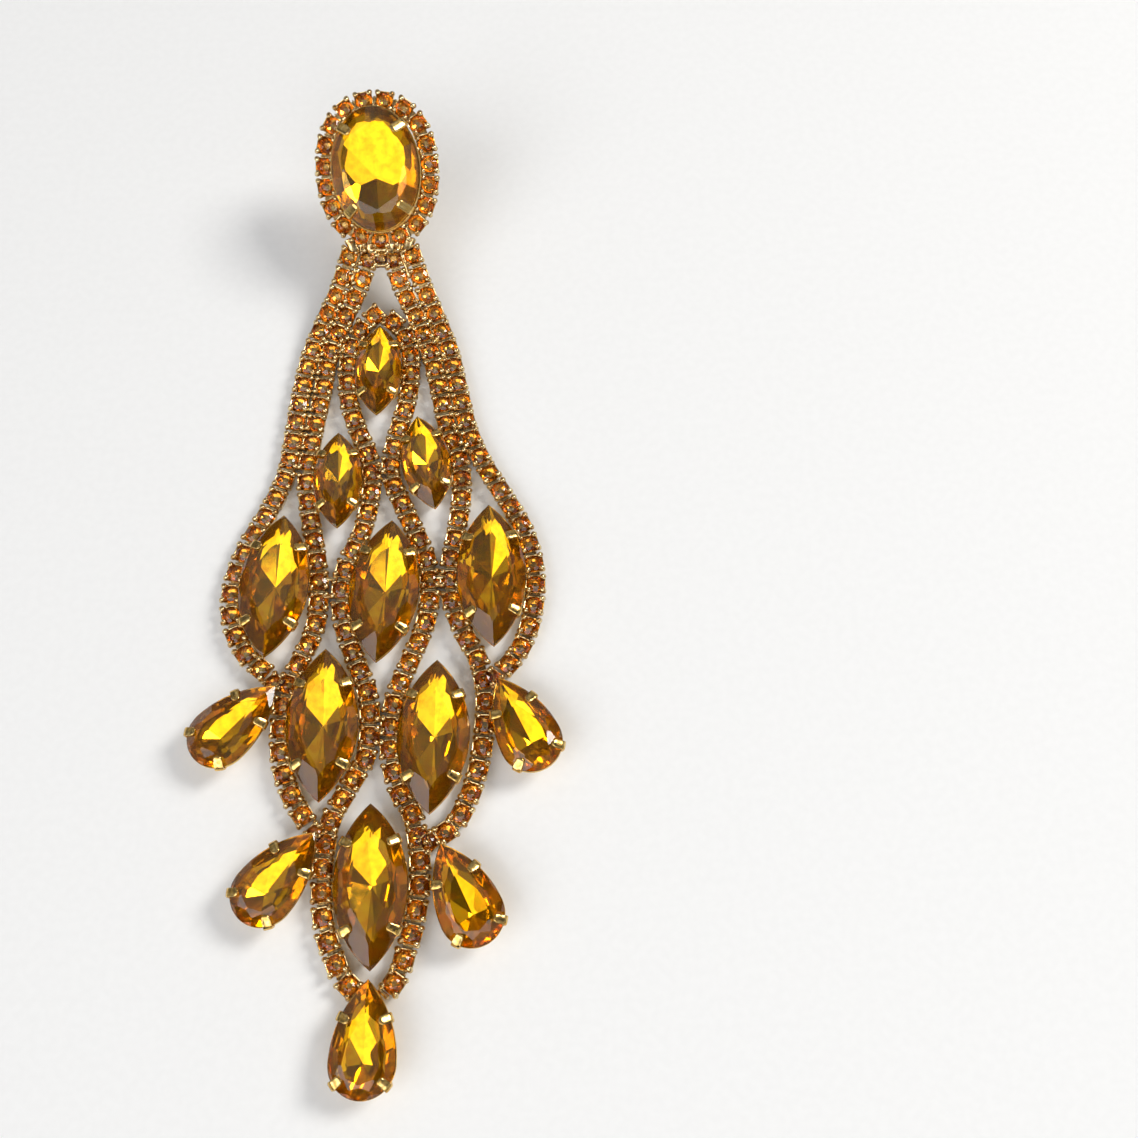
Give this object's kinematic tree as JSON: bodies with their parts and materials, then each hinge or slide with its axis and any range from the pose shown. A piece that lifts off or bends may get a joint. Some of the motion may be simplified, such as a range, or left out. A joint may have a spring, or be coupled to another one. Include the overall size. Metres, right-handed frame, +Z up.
{
  "type": "chandelier earring",
  "caption": "Chandelier earring: a haloed oval stone on a post, and a net of fine cup chains that carries navettes and pear drops, lying on its back.",
  "frame": {"origin": "middle of the bottom of the earring's box as it lies face up on a surface", "axes": "+Z up out of the stones' faces, +Y along the earring towards the ear, +X to the right as seen from above with the ear end up"},
  "size_m": [0.0366, 0.0978, 0.0141],
  "materials": {
    "amber_glass": "polished foil-backed glass",
    "gold_metal": "polished gold-coloured plate",
    "cup_chain": "polished cups with small amber stones"
  },
  "bodies": {
    "root": {"ear_post": "gold_metal", "halo_chain": "cup_chain", "oval_stone": "amber_glass", "oval_setting": "gold_metal", "navette_1_stone": "amber_glass", "navette_1_setting": "gold_metal", "navette_2_left_stone": "amber_glass", "navette_2_left_setting": "gold_metal", "navette_2_right_stone": "amber_glass", "navette_2_right_setting": "gold_metal", "navette_3_left_stone": "amber_glass", "navette_3_left_setting": "gold_metal", "navette_3_middle_stone": "amber_glass", "navette_3_middle_setting": "gold_metal", "navette_3_right_stone": "amber_glass", "navette_3_right_setting": "gold_metal", "navette_4_left_stone": "amber_glass", "navette_4_left_setting": "gold_metal", "navette_4_right_stone": "amber_glass", "navette_4_right_setting": "gold_metal", "navette_5_stone": "amber_glass", "navette_5_setting": "gold_metal", "drop_upper_left_stone": "amber_glass", "drop_upper_left_setting": "gold_metal", "drop_upper_right_stone": "amber_glass", "drop_upper_right_setting": "gold_metal", "drop_lower_left_stone": "amber_glass", "drop_lower_left_setting": "gold_metal", "drop_lower_right_stone": "amber_glass", "drop_lower_right_setting": "gold_metal", "drop_bottom_stone": "amber_glass", "drop_bottom_setting": "gold_metal", "chain_outer_left": "cup_chain", "chain_left": "cup_chain", "chain_inner_left": "cup_chain", "chain_inner_right": "cup_chain", "chain_right": "cup_chain", "chain_outer_right": "cup_chain"}
  },
  "joints": []
}
